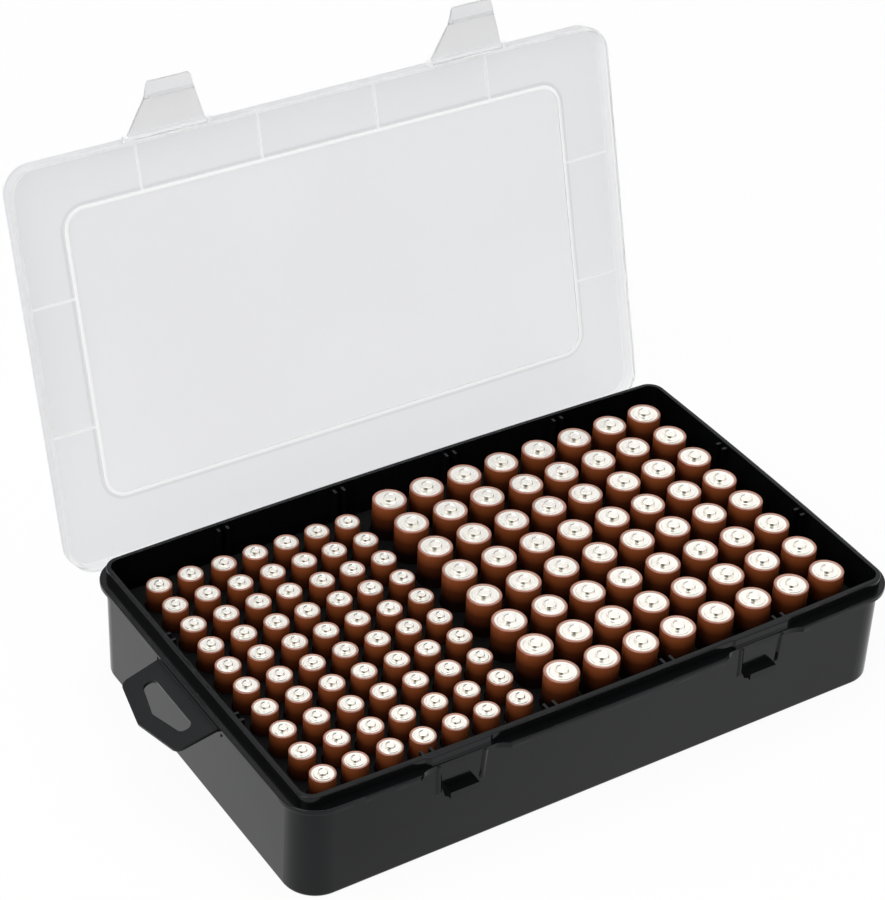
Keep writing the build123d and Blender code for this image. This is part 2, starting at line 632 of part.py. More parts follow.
def latch_tab(middle, z):
    """Tapered plate whose tip, past the crease, is bent outwards."""
    root_y = LATCH_AXIS_Y - LATCH_BARREL_RADIUS / 2
    crease_y = LATCH_AXIS_Y - LATCH_REACH
    bend = math.radians(LATCH_TIP_BEND)
    end_y = crease_y - LATCH_TIP * math.cos(bend)
    end_z = z + LATCH_TIP * math.sin(bend)
    slab = prism_x([
        (root_y, z),
        (crease_y, z),
        (end_y, end_z),
        (end_y + LATCH_THICK * math.sin(bend), end_z + LATCH_THICK * math.cos(bend)),
        (crease_y + LATCH_THICK * math.tan(bend / 2), z + LATCH_THICK),
        (root_y, z + LATCH_THICK),
    ], middle - LATCH_ROOT_WIDTH / 2, middle + LATCH_ROOT_WIDTH / 2)
    low = z - CUT_PAST
    half_root = LATCH_ROOT_WIDTH / 2
    half_crease = LATCH_CREASE_WIDTH / 2
    half_tip = LATCH_TIP_WIDTH / 2
    outline = Polyline(
        (middle - half_root, root_y, low), (middle - half_crease, crease_y, low),
        (middle - half_tip, end_y, low), (middle + half_tip, end_y, low),
        (middle + half_crease, crease_y, low), (middle + half_root, root_y, low), close=True)
    plan = extrude(make_face(outline), amount=2 * CUT_PAST + LATCH_TIP, dir=(0, 0, 1))
    far = plan.edges().filter_by(Axis.Z).group_by(Axis.Y)[0]
    return slab & fillet(far, LATCH_TIP_CORNER)


def latch_hook(middle, z):
    """Ridge on the tab's inner face that sits under the catch."""
    corner_reach = math.hypot(CATCH_FRONT + LATCH_AXIS_Y, LATCH_AXIS_Z - CATCH_FOOT)
    near = LATCH_AXIS_Y - corner_reach - HOOK_CLEARANCE
    return prism_x([
        (near, z + LATCH_THICK / 2),
        (near, z - HOOK_PROUD),
        (near - HOOK_TALL / 2, z - HOOK_PROUD),
        (near - HOOK_TALL, z + LATCH_THICK / 2),
    ], middle - HOOK_WIDTH / 2, middle + HOOK_WIDTH / 2)


def opened(closed):
    """Swing what was drawn closed to the lid's rest position."""
    return closed.rotate(LID_AXIS, -LID_OPEN_ANGLE)


def latch_folded(middle):
    """A latch at its rest fold on the closed lid."""
    return latch_flat(middle).rotate(Axis((0, LATCH_AXIS_Y, LATCH_AXIS_Z), (1, 0, 0)), LATCH_FOLD)


# ---- side loop, drawn hanging --------------------------------------------------------------------
def loop_plate():
    """Peaked plate with its hole, in the plane x = 0, hanging from y axis."""
    outline = Polyline(
        (-LOOP_HALF_ROOT, 0), (-LOOP_HALF_OUT, -LOOP_SHOULDER), (0, -LOOP_PEAK),
        (LOOP_HALF_OUT, -LOOP_SHOULDER), (LOOP_HALF_ROOT, 0), close=True)
    plate = make_face(outline)
    plate = fillet(plate.vertices().group_by(Axis.Y)[0] + plate.vertices().group_by(Axis.Y)[1], LOOP_CORNER)
    hole = make_face(Polyline(
        (-LOOP_HOLE_HALF, -LOOP_HOLE_NEAR), (-LOOP_HOLE_HALF, -LOOP_HOLE_END), (0, -LOOP_HOLE_PEAK),
        (LOOP_HOLE_HALF, -LOOP_HOLE_END), (LOOP_HOLE_HALF, -LOOP_HOLE_NEAR), close=True))
    hole = fillet(hole.vertices(), LOOP_HOLE_CORNER)
    upright = Plane(origin=(LOOP_AXIS_X, 0, LOOP_AXIS_Z), x_dir=(0, 1, 0), z_dir=(1, 0, 0))
    return extrude(upright * (plate - hole), amount=LOOP_THICK / 2, both=True)


def side_loop():
    """Loop with its barrel and pegs, swung up to where it rests."""
    barrel = rod_y(LOOP_BARREL_RADIUS, -LOOP_HALF_ROOT, LOOP_HALF_ROOT, LOOP_AXIS_X, LOOP_AXIS_Z)
    reach = LOOP_HALF_ROOT + LOOP_PEG_LENGTH
    pegs = rod_y(LOOP_PEG_RADIUS, -reach, reach, LOOP_AXIS_X, LOOP_AXIS_Z)
    hanging = loop_plate() + barrel + pegs
    return hanging.rotate(Axis((LOOP_AXIS_X, 0, LOOP_AXIS_Z), (0, 1, 0)), LOOP_ANGLE)


# ---- write every node ----------------------------------------------------------------------------
os.makedirs("parts", exist_ok=True)

write("case_base", case_base())
write("hinge_pin_left", hinge_pin(-HINGE_X))
write("hinge_pin_right", hinge_pin(HINGE_X))
write("cell_holder", cell_holder())
write("side_loop", side_loop())
write("lid", opened(lid_closed()))
write("latch_left", opened(latch_folded(-LATCH_X)))
write("latch_right", opened(latch_folded(LATCH_X)))

for number, column in enumerate(LARGE_PLACES, start=1):
    cans = [can(x, y, LARGE_DIA, LARGE_LENGTH, LARGE_NUB_DIA, LARGE_NUB) for x, y in column]
    jackets = [jacket(x, y, LARGE_DIA, LARGE_LENGTH, LARGE_NUB) for x, y in column]
    write(f"large_cans_column_{number}", Compound(cans))
    write(f"large_jackets_column_{number}", Compound(jackets))

for number, column in enumerate(SMALL_PLACES, start=1):
    cans = [can(x, y, SMALL_DIA, SMALL_LENGTH, SMALL_NUB_DIA, SMALL_NUB) for x, y in column]
    jackets = [jacket(x, y, SMALL_DIA, SMALL_LENGTH, SMALL_NUB) for x, y in column]
    write(f"small_cans_column_{number}", Compound(cans))
    write(f"small_jackets_column_{number}", Compound(jackets))
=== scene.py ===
"""Dressed scene of a storage case for cells with a hinged clear lid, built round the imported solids."""
import math
import random

import bmesh
import bpy
from mathutils import Matrix, Vector


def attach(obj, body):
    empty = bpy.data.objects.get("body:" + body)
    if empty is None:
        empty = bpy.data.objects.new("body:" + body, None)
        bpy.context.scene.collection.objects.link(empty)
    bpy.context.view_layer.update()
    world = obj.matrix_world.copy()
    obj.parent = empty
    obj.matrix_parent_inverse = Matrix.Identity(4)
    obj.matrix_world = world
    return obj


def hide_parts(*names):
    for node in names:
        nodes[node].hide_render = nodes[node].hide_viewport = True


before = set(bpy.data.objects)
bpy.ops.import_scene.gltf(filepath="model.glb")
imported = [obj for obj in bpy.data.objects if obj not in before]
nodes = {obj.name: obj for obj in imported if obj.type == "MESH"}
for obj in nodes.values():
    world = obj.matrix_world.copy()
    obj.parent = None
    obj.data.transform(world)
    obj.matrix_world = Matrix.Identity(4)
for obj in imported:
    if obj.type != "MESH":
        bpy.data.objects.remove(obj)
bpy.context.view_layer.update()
MM = 0.001

# ---- sizes shared with the solids, in millimetres -------------------------------------------------
FLOOR = 1.8                           # where the cells stand
HINGE_Y = 86.9
HINGE_Z = 34.4
LID_OPEN = math.radians(105.5)
LID_INSIDE = 53.3                     # panel's underside, when closed
LID_FOOT = 46.4                       # skirt's free edge, when closed
LID_HALF_X = 140.85
LID_FRONT = 86.64
LID_BACK = 86.3
LID_CORNER = 12.0
BEAD_WIDTH = 235.1
BEAD_DEPTH = 123.2
BEAD_MIDDLE_Y = -2.0
BEAD_CORNER = 8.8
RIB_PITCH_X = 55.1
RIB_PITCH_Y = 55.0
LATCH_X = 70.5
LATCH_AXIS_Y = -87.99
LATCH_AXIS_Z = 47.6
LATCH_FOLD = math.radians(25.0)
LATCH_REACH = 17.4                    # axis to crease
WALL_Y = 83.85                        # straight wall's outer face, in front of the middle
WALL_TOP = 46.0
BOW = 2.2                             # how far the middle of the wall's top bellies out
BOW_HALF = 125.3
PAD_Y = 84.70                         # rim's thickened face behind a latch
GAP_HALF = 12.9                       # ledge gone within this distance of a latch's middle
JACKET_THICK = 0.25
JACKET_FOOT = 0.7
LARGE = dict(dia=14.5, length=50.5, nub_dia=5.4, nub=1.3, columns=8, rows=8, segments=48,
             first=(-13.9, 61.9), pitch=(18.71, 18.43), lip=1.05, step_reflection=0.45)
SMALL = dict(dia=10.5, length=44.5, nub_dia=3.8, nub=1.1, columns=7, rows=10, segments=40,
             first=(-120.2, 63.8), pitch=(14.62, 14.50), lip=0.8, step_reflection=0.7)

# ---- trim that only the scene has, in millimetres and degrees -------------------------------------
CAN_ROUND = 0.4                       # can's foot and shoulder
RING_SINK = 0.06                      # sunk ring, below the can's shoulder
PLATEAU_RISE = 0.20                   # plateau's edge, above the shoulder
PLATEAU_SHARE = 0.62                  # its place, from the contact out to the sleeve's edge
DIMPLE_DEPTH = 0.30
HARD_EDGE = 40.0                      # profile corners above this angle stay hard
CELL_LEAN = math.radians(0.45)
OFF_CENTRE = 0.28                     # most that a sleeve's edge or a plateau sits off the axis
OFF_BELOW_LIP = 0.17                  # only what is this near the lip's height,
OFF_PAST_EDGE = 0.35                  # and this near the sleeve's edge or inside it, moves
EDGE_SHADE_REACH = 0.45                   # painted shade on the can, inside the sleeve's edge
EDGE_SHADE_FADE = 0.4
FRONT_RIGHT = -33.2                   # direction, about Z, that the painted reflections below are turned from
CONTACT_REFLECTIONS = ((245, 272), (338, 366))    # painted reflection of the dark on a contact's wall
DIMPLE_REFLECTIONS = ((105, 205),)
STEP_REFLECTIONS = ((222, 318),)
REFLECTION_FADE = 12.0
CONTACT_DARK = 0.85
CONTACT_FLARE = 0.2                   # contact's painted reflections reach this far outside its wall
DIMPLE_DARK = 0.8
DIMPLE_SHARE = 0.86                   # dimple's painted reflections, as a share of the contact's radius
STRIP_STEPS = 8
STRIP_LOW = 45.2                      # flush strip's lower and upper edge on the wall
STRIP_HIGH = 47.4
STRIP_PROUD_LOW = 0.015
STRIP_PROUD_HIGH = 0.02
STRIP_INNER = ((0.3, 46.8), (0.1, 45.0))    # inside the rim's face, and height
GUIDE_SECTIONS = (                    # height, distance from the latch's middle, crest's face
    (30.4, 9.44, 84.95), (31.6, 9.505, 85.77), (44.9, 10.195, 86.065), (45.3, 10.2, 85.4))
GUIDE_CREST_HALF = 0.33
GUIDE_ROOT_HALF = 1.5
GUIDE_ROOT_SUNK = 0.1

# ---- looks: linear colours, roughness and light ---------------------------------------------------
WHITE = (1.0, 1.0, 1.0, 1)
BLACK_SHEEN = (0.94, 0.955, 1.0, 1)
MILK_DIM = (0.856, 0.858, 0.872, 1)
MILK_BRIGHT = (0.882, 0.886, 0.898, 1)
MILK_MARGIN = (0.850, 0.856, 0.870, 1)
MILK_SHADED = (0.66, 0.665, 0.675, 1)
MILK_SKIRT_PAINTED_LIGHT = (0.965, 0.968, 0.975, 1)
LATCH_DIM = (0.86, 0.862, 0.870, 1)
LATCH_BRIGHT = (0.885, 0.887, 0.895, 1)
LATCH_CREASE_SHADE = (0.50, 0.505, 0.515, 1)
STEEL = (0.99, 0.965, 0.905, 1)
STEEL_STAINED = (0.91, 0.87, 0.79, 1)
STEEL_RINGS = (0.82, 0.81, 0.75, 1)
STEEL_EDGE_SHADE = (0.20, 0.165, 0.130, 1)
STEEL_PAINTED_DARK_REFLECTION = (0.035, 0.042, 0.030, 1)
COPPER_DIM = (0.235, 0.060, 0.017, 1)
COPPER_BRIGHT = (0.285, 0.075, 0.022, 1)
COPPER_SHADED = (0.085, 0.020, 0.006, 1)
COPPER_DEEP_SHADE = (0.006, 0.002, 0.001, 1)
COPPER_FOLD_HIGHLIGHT_OUTER = (0.30, 0.115, 0.080, 1)
COPPER_FOLD_HIGHLIGHT_INNER = (0.55, 0.32, 0.25, 1)
WIRE_DIM = (0.42, 0.41, 0.40, 1)
WIRE_BRIGHT = (0.66, 0.65, 0.63, 1)
SMOOTHEST = 0.285                     # for clear plastic and steel: thin false lines show below 0.274
CLEAR_IOR = 1.30
RIM_GLOW = 0.07                       # faint light against dark lines from light paths that end early
# painted glow on the lid's lugs and the skirt's free edge, and on the latch's root
LUG_GLOW = 0.05
FOOT_GLOW = 0.06
LATCH_ROOT_GLOW = 0.05
AMBIENT = 0.62                        # light of the surroundings, which are seen as white
FLOOR_GLOW_SHARE = 0.93               # how much of the floor that is seen is plain white
STUDIO_HALF = 6.0                     # half the studio floor's side, in metres
STUDIO_DROP = 0.0002                  # its depth below the case, in metres


# ---- node helpers ---------------------------------------------------------------------------------
class Tree:
    """A node tree, with short ways to add and join nodes."""

    def __init__(self, tree):
        self.tree = tree

    def add(self, kind, **values):
        node = self.tree.nodes.new(kind)
        for key, value in values.items():
            setattr(node, key, value)
        return node

    def plug(self, source, socket):
        if isinstance(source, bpy.types.NodeSocket):
            self.tree.links.new(source, socket)
        else:
            socket.default_value = source

    def math(self, operation, first, second=0.0, clamp=False):
        node = self.add("ShaderNodeMath", operation=operation, use_clamp=clamp)
        self.plug(first, node.inputs[0])
        self.plug(second, node.inputs[1])
        return node.outputs[0]

    def product(self, first, *others):
        for other in others:
            first = self.math("MULTIPLY", first, other)
        return first

    def largest(self, first, *others):
        for other in others:
            first = self.math("MAXIMUM", first, other)
        return first

    def seen_rays(self):
        """One for rays that come from the camera, from a glossy face or through clear plastic."""
        path = self.add("ShaderNodeLightPath").outputs
        return self.largest(path["Is Camera Ray"], path["Is Glossy Ray"], path["Is Transmission Ray"])

    def blend(self, factor, first, second, output):
        """Mix of two shaders, joined to the tree's output node."""
        node = self.add("ShaderNodeMixShader")
        self.plug(factor, node.inputs["Fac"])
        self.plug(first, node.inputs[1])
        self.plug(second, node.inputs[2])
        self.plug(node.outputs[0], self.tree.nodes[output].inputs["Surface"])


class Shader(Tree):
    """A material's node tree."""

    def __init__(self, name):
        self.material = bpy.data.materials.new(name)
        self.material.use_nodes = True
        super().__init__(self.material.node_tree)
        self.surface = self.tree.nodes["Principled BSDF"]
        self.coords = self.add("ShaderNodeTexCoord").outputs["Object"]

    def attribute(self, name):
        return self.add("ShaderNodeAttribute", attribute_name=name).outputs["Fac"]

    def noise(self, scale, detail=2.0, rough=0.5, coords=None):
        node = self.add("ShaderNodeTexNoise")
        self.plug(coords or self.coords, node.inputs["Vector"])
        node.inputs["Scale"].default_value = scale
        node.inputs["Detail"].default_value = detail
        node.inputs["Roughness"].default_value = rough
        return node.outputs["Fac"]

    def span(self, value, low, high, to_low=0.0, to_high=1.0, smooth=True):
        node = self.add("ShaderNodeMapRange")
        node.interpolation_type = "SMOOTHSTEP" if smooth else "LINEAR"
        limits = (("From Min", low), ("From Max", high), ("To Min", to_low), ("To Max", to_high))
        self.plug(value, node.inputs["Value"])
        for key, number in limits:
            node.inputs[key].default_value = number
        return node.outputs["Result"]

    def fade(self, length, low, high, to_low=0.0, to_high=1.0, smooth=True):
        """Span between two lengths in millimetres."""
        return self.span(length, low * MM, high * MM, to_low, to_high, smooth)

    def mix(self, factor, first, second):
        node = self.add("ShaderNodeMix", data_type="RGBA")
        self.plug(factor, node.inputs["Factor"])
        self.plug(first, node.inputs["A"])
        self.plug(second, node.inputs["B"])
        return node.outputs["Result"]

    def split(self, vector):
        node = self.add("ShaderNodeSeparateXYZ")
        self.plug(vector, node.inputs[0])
        return node.outputs["X"], node.outputs["Y"], node.outputs["Z"]

    def facing_up(self):
        return self.split(self.add("ShaderNodeNewGeometry").outputs["Normal"])[2]

    def swung(self, point, y, z, angle):
        """Point turned about an axis along X that passes through y and z."""
        node = self.add("ShaderNodeVectorRotate", rotation_type="X_AXIS")
        self.plug(point, node.inputs["Vector"])
        node.inputs["Center"].default_value = (0.0, y * MM, z * MM)
        node.inputs["Angle"].default_value = angle
        return node.outputs["Vector"]

    def bump(self, height, strength, distance, under=None):
        node = self.add("ShaderNodeBump")
        self.plug(height, node.inputs["Height"])
        node.inputs["Strength"].default_value = strength
        node.inputs["Distance"].default_value = distance
        if under:
            self.plug(under, node.inputs["Normal"])
        return node.outputs["Normal"]

    def put(self, socket, source):
        self.plug(source, self.surface.inputs[socket])


def grey(level, warm=0.0):
    """Linear colour of a neutral tone, warmer above zero and cooler below."""
    return (level * (1 + warm), level, level * (1 - warm), 1.0)


# ---- materials ------------------------------------------------------------------------------------
def moulded(name, dark, pale, rough, grain, gloss):
    """Black moulded plastic: nearly all gloss, with a drifting polish, fine grain and a little dust."""
    shader = Shader(name)
    drift = shader.span(shader.noise(14.0, 3.0, 0.55), 0.3, 0.7)
    tone = shader.mix(drift, grey(dark, -0.04), grey(pale, -0.08))
    speck = shader.span(shader.noise(1400.0, 2.0, 0.7), 0.70, 0.78, 0.0, 0.25)
    dust = shader.math("MULTIPLY", speck, shader.span(shader.facing_up(), 0.2, 0.9), clamp=True)
    shader.put("Base Color", shader.mix(dust, tone, grey(0.02, 0.02)))
    shader.put("Roughness", shader.span(shader.noise(60.0, 3.0), 0.25, 0.75, *rough))
    shader.put("IOR", 1.5)
    shader.put("Specular IOR Level", gloss)
    shader.put("Specular Tint", BLACK_SHEEN)
    waves = shader.bump(shader.noise(22.0), 0.05, 0.0008)
    shader.put("Normal", shader.bump(shader.noise(2200.0, 2.0, 0.6), grain, 0.00008, under=waves))
    return shader.material


def holder_material():
    """Matt black block, deep between the cells."""
    shader = Shader("holder_matt_black")
    drift = shader.span(shader.noise(60.0, 4.0), 0.3, 0.7)
    shader.put("Base Color", shader.mix(drift, grey(0.0016, -0.05), grey(0.0030, -0.08)))
    shader.put("Roughness", shader.span(shader.noise(240.0, 3.0), 0.3, 0.7, 0.5, 0.62))
    shader.put("Specular IOR Level", 0.12)
    shader.put("Normal", shader.bump(shader.noise(1900.0), 0.25, 0.00015))
    return shader.material


def closed_place(shader):
    """A point of the open lid, as its place in the lid's closed drawing."""
    return shader.swung(shader.coords, HINGE_Y, HINGE_Z, LID_OPEN)


def corner_distance(shader, x, y, half_x, half_y, corner, middle_y):
    """Distance outside a rounded rectangle, below zero inside it."""
    over = []
    for value, half in ((x, half_x), (shader.math("SUBTRACT", y, middle_y * MM), half_y)):
        over.append(shader.math("SUBTRACT", shader.math("ABSOLUTE", value), (half - corner) * MM))
    outside = [shader.math("MAXIMUM", value, 0.0) for value in over]
    squares = [shader.math("MULTIPLY", value, value) for value in outside]
    away = shader.math("SQRT", shader.math("ADD", *squares))
    inside = shader.math("MINIMUM", shader.math("MAXIMUM", *over), 0.0)
    return shader.math("SUBTRACT", shader.math("ADD", away, inside), corner * MM)


def band(shader, distance, low, high, soft):
    """One between low and high, fading over soft on each side (all in millimetres)."""
    rise = shader.fade(distance, low - soft, low)
    fall = shader.fade(distance, high, high + soft, 1.0, 0.0)
    return shader.product(rise, fall)


def rib_lines(shader, x, y):
    """One along the thin ribs from the bead out to the skirt."""
    off_x = shader.math("ABSOLUTE", x)
    off_y = shader.math("ABSOLUTE", y)
    turn = shader.math("ADD", shader.math("DIVIDE", x, RIB_PITCH_X * MM), 0.5)
    turn = shader.math("SUBTRACT", shader.math("FRACT", turn), 0.5)
    across = shader.math("SUBTRACT", shader.math("ABSOLUTE", turn), 0.5)
    across = shader.product(across, RIB_PITCH_X * MM)
    along = shader.math("SUBTRACT", off_y, RIB_PITCH_Y / 2 * MM)
    front = shader.product(shader.math("LESS_THAN", y, (BEAD_MIDDLE_Y - BEAD_DEPTH / 2) * MM),
                           shader.math("LESS_THAN", off_x, 2 * RIB_PITCH_X * MM))
    sides = shader.math("GREATER_THAN", off_x, BEAD_WIDTH / 2 * MM)
    lines = []
    for value, where in ((across, front), (along, sides)):
        line = shader.fade(shader.math("ABSOLUTE", value), 0.35, 0.75, 1.0, 0.0)
        lines.append(shader.product(line, where))
    return shader.math("ADD", *lines)


def lid_material():
    """Milky clear plastic: whiter where the bead and ribs thicken it, greyer outside the bead, with a
    painted shade line beside the bead, painted light on the skirt, along its free edge and on the lower
    part of the open lid, and a faint painted glow on the rim, lugs and free edge.
    """
    shader = Shader("lid_milky_clear")
    x, y, z = shader.split(closed_place(shader))
    distance = corner_distance(shader, x, y, BEAD_WIDTH / 2, BEAD_DEPTH / 2, BEAD_CORNER, BEAD_MIDDLE_Y)
    on_panel = shader.fade(z, LID_INSIDE - 1.5, LID_INSIDE - 0.9)
    outside = shader.fade(distance, 0.0, 0.4)
    white = shader.product(band(shader, distance, -0.6, 0.6, 0.2), on_panel)
    # painted shade: a grey line just outside the bead
    dark = shader.product(band(shader, distance, 1.25, 1.9, 0.6), on_panel)
    ribs = shader.product(rib_lines(shader, x, y), outside, on_panel)
    foot = shader.fade(z, LID_FOOT + 0.4, LID_FOOT + 0.9, 1.0, 0.0)
    # painted light: the skirt is painted whiter, which lightens the dark lines that refraction draws
    # along it
    skirt = shader.fade(z, LID_INSIDE - 2.5, LID_INSIDE - 1.0, 0.8, 0.0)
    # the bead and ribs are whiter where the plastic is thicker; the skirt's free edge is whiter as a
    # painted highlight
    thickness_and_edge_highlight = shader.largest(shader.math("ADD", white, shader.product(ribs, 0.8), clamp=True), foot)

    panel = shader.mix(shader.span(shader.noise(5.0), 0.3, 0.7), MILK_DIM, MILK_BRIGHT)
    panel = shader.mix(shader.product(outside, 0.75), panel, MILK_MARGIN)
    panel = shader.mix(shader.product(dark, 0.55), panel, MILK_SHADED)
    panel = shader.mix(skirt, panel, MILK_SKIRT_PAINTED_LIGHT)
    shader.put("Base Color", shader.mix(thickness_and_edge_highlight, panel, WHITE))
    shader.put("Roughness", shader.span(shader.noise(12.0), 0.25, 0.75, SMOOTHEST, 0.33))
    # painted light: transmission rises towards the hinge, which lightens the lower part of the open lid
    # where the case and cells shade it
    shader.put("Transmission Weight", shader.largest(shader.fade(y, -30.0, 80.0, 0.79, 0.93),
                                                     shader.span(thickness_and_edge_highlight, 0.0, 1.0, 0.78, 0.92)))

    border = corner_distance(shader, x, y, LID_HALF_X, (LID_FRONT + LID_BACK) / 2, LID_CORNER,
                             (LID_BACK - LID_FRONT) / 2)
    top_face = shader.fade(z, LID_INSIDE - 0.4, LID_INSIDE + 0.2)
    rim = shader.product(shader.fade(border, -1.8, -0.7, 0.0, RIM_GLOW), top_face)
    lugs = shader.fade(border, 0.1, 0.3, 0.0, LUG_GLOW)
    # painted glow: the lid's rim, lugs and the skirt's free edge give off faint light, though they are
    # no lamps
    shader.put("Emission Color", WHITE)
    shader.put("Emission Strength", shader.largest(rim, lugs, shader.product(foot, FOOT_GLOW)))
    shader.put("IOR", CLEAR_IOR)
    shader.put("Normal", shader.bump(shader.noise(1700.0, 2.0, 0.6), 0.02, 0.00008))
    return shader.material


def latch_material():
    """Same plastic, a little greyer, with a thin line of painted shade along the crease and a faint
    painted glow at its root.
    """
    shader = Shader("latch_milky_clear")
    unfolded = shader.swung(closed_place(shader), LATCH_AXIS_Y, LATCH_AXIS_Z, -LATCH_FOLD)
    _, y, _ = shader.split(unfolded)
    from_crease = shader.math("SUBTRACT", y, (LATCH_AXIS_Y - LATCH_REACH) * MM)
    # painted shade along the crease
    crease = shader.fade(shader.math("ABSOLUTE", from_crease), 0.15, 0.45, 0.8, 0.0)
    tone = shader.mix(shader.span(shader.noise(25.0), 0.3, 0.7), LATCH_DIM, LATCH_BRIGHT)
    shader.put("Base Color", shader.mix(crease, tone, LATCH_CREASE_SHADE))
    shader.put("Roughness", shader.span(shader.noise(40.0), 0.25, 0.75, SMOOTHEST, 0.34))
    # painted glow near the latch's root
    shader.put("Emission Color", WHITE)
    shader.put("Emission Strength",
               shader.fade(y, LATCH_AXIS_Y - 2.0, LATCH_AXIS_Y - 1.0, 0.0, LATCH_ROOT_GLOW))
    shader.put("Transmission Weight", shader.span(shader.noise(30.0), 0.3, 0.7, 0.70, 0.76))
    shader.put("IOR", CLEAR_IOR)
    shader.put("Normal", shader.bump(shader.noise(1500.0, 2.0, 0.6), 0.02, 0.00008))
    return shader.material


def metal_material():
    """Plated steel of the cell tops, with fine turned rings, painted shade beside the sleeve's edge, and
    painted reflections of the dark on the steep faces of the contact, its dimple and the plateau's step.
    """
    shader = Shader("cell_plated_steel")
    rings = shader.add("ShaderNodeTexNoise", noise_dimensions="1D")
    shader.plug(shader.attribute("from_axis"), rings.inputs["W"])
    rings.inputs["Scale"].default_value = 2600.0
    rings.inputs["Detail"].default_value = 2.0
    lines = rings.outputs["Fac"]
    tone = shader.mix(shader.span(shader.noise(300.0, 3.0), 0.40, 0.80), STEEL, STEEL_STAINED)
    tone = shader.mix(shader.span(lines, 0.3, 0.7, 0.0, 0.14), tone, STEEL_RINGS)
    # painted shade on the can beside the sleeve's edge
    tone = shader.mix(shader.product(shader.attribute("edge_light_and_shade"), 0.75), tone, STEEL_EDGE_SHADE)
    # painted reflection of the dark on steep faces of the contact, its dimple and the plateau's step
    steep = shader.span(shader.facing_up(), 0.55, 0.90, 1.0, 0.0)
    mirrored = shader.product(steep, shader.attribute("contact"))
    shader.put("Base Color", shader.mix(mirrored, tone, STEEL_PAINTED_DARK_REFLECTION))
    shader.put("Metallic", 1.0)
    shader.put("Roughness", shader.span(shader.noise(700.0), 0.3, 0.7, SMOOTHEST, 0.34))
    shader.put("Normal", shader.bump(lines, 0.10, 0.00003))
    return shader.material


def jacket_material():
    """Copper-brown sleeve, with a painted pink highlight along its folded ring and painted shade that
    deepens towards the foot.
    """
    shader = Shader("cell_copper_jacket")
    depth = shader.attribute("below_top")
    own = shader.product(shader.attribute("tone"), 0.6)
    mixed = shader.math("ADD", own, shader.product(shader.noise(90.0), 0.4))
    tone = shader.mix(shader.span(mixed, 0.2, 0.8), COPPER_DIM, COPPER_BRIGHT)
    # painted shade: the sleeve darkens with depth below its top, where the neighbouring cells shade it
    tone = shader.mix(shader.fade(depth, 1.0, 6.5, smooth=False), tone, COPPER_SHADED)
    tone = shader.mix(shader.fade(depth, 5.0, 12.0, smooth=False), tone, COPPER_DEEP_SHADE)
    # painted highlight: the folded ring is painted pink and lighter, as if it mirrored the light above
    folded = shader.mix(shader.attribute("edge_light_and_shade"), COPPER_FOLD_HIGHLIGHT_OUTER, COPPER_FOLD_HIGHLIGHT_INNER)
    on_fold = shader.fade(depth, 0.45, 0.75, 1.0, 0.0)
    shader.put("Base Color", shader.mix(on_fold, tone, folded))
    shader.put("Metallic", shader.span(on_fold, 0.0, 1.0, 0.15, 0.45))
    shader.put("Roughness", shader.span(shader.noise(300.0), 0.3, 0.7, 0.30, 0.40))
    shader.put("Specular IOR Level", 0.15)
    shader.put("Coat Weight", 0.04)
    shader.put("Coat Roughness", 0.25)
    shader.put("Normal", shader.bump(shader.noise(900.0), 0.03, 0.00006))
    return shader.material


def pin_material():
    """Drawn steel wire, with lines along its length."""
    shader = Shader("pin_drawn_steel")
    stretch = shader.add("ShaderNodeMapping")
    shader.plug(shader.coords, stretch.inputs["Vector"])
    stretch.inputs["Scale"].default_value = (60.0, 4000.0, 4000.0)
    lines = shader.noise(1.0, 3.0, 0.6, coords=stretch.outputs[0])
    shader.put("Base Color", shader.mix(lines, WIRE_DIM, WIRE_BRIGHT))
    shader.put("Metallic", 1.0)
    shader.put("Roughness", shader.span(lines, 0.3, 0.7, 0.28, 0.45))
    shader.put("Normal", shader.bump(lines, 0.2, 0.00005))
    return shader.material


def floor_material():
    """Pale floor that shows near white, and keeps a soft shadow."""
    shader = Shader("studio_floor")
    shader.put("Base Color", shader.mix(shader.noise(1.3), grey(0.90), grey(0.92)))
    shader.put("Roughness", 0.9)
    shader.put("Specular IOR Level", 0.0)
    glow = shader.add("ShaderNodeEmission")
    glow.inputs["Strength"].default_value = 1.0
    share = shader.product(shader.seen_rays(), FLOOR_GLOW_SHARE)
    shader.blend(share, shader.surface.outputs["BSDF"], glow.outputs[0], "Material Output")
    return shader.material


# ---- meshes ---------------------------------------------------------------------------------------
def join_rings(mesh, low, high):
    """Faces between two rings of vertices, where one ring may be a single vertex."""
    count = max(len(low), len(high))
    for step in range(count):
        after = (step + 1) % count
        if len(low) == 1:
            mesh.faces.new((low[0], high[after], high[step]))
        elif len(high) == 1:
            mesh.faces.new((low[step], low[after], high[0]))
        else:
            mesh.faces.new((low[step], low[after], high[after], high[step]))


def linked(name, mesh):
    """Object of the scene from a finished mesh, with its faces turned outwards."""
    bmesh.ops.recalc_face_normals(mesh, faces=mesh.faces)
    data = bpy.data.meshes.new(name)
    mesh.to_mesh(data)
    mesh.free()
    piece = bpy.data.objects.new(name, data)
    bpy.context.scene.collection.objects.link(piece)
    return piece


# ---- cells ----------------------------------------------------------------------------------------
def unit(value):
    """Value kept between zero and one."""
    return max(0.0, min(1.0, value))


def window(angle, low, high):
    """One between two directions, fading outside them."""
    off = (angle - (low + high) / 2 + 180.0) % 360.0 - 180.0
    return unit(1.0 + ((high - low) / 2 - abs(off)) / REFLECTION_FADE)


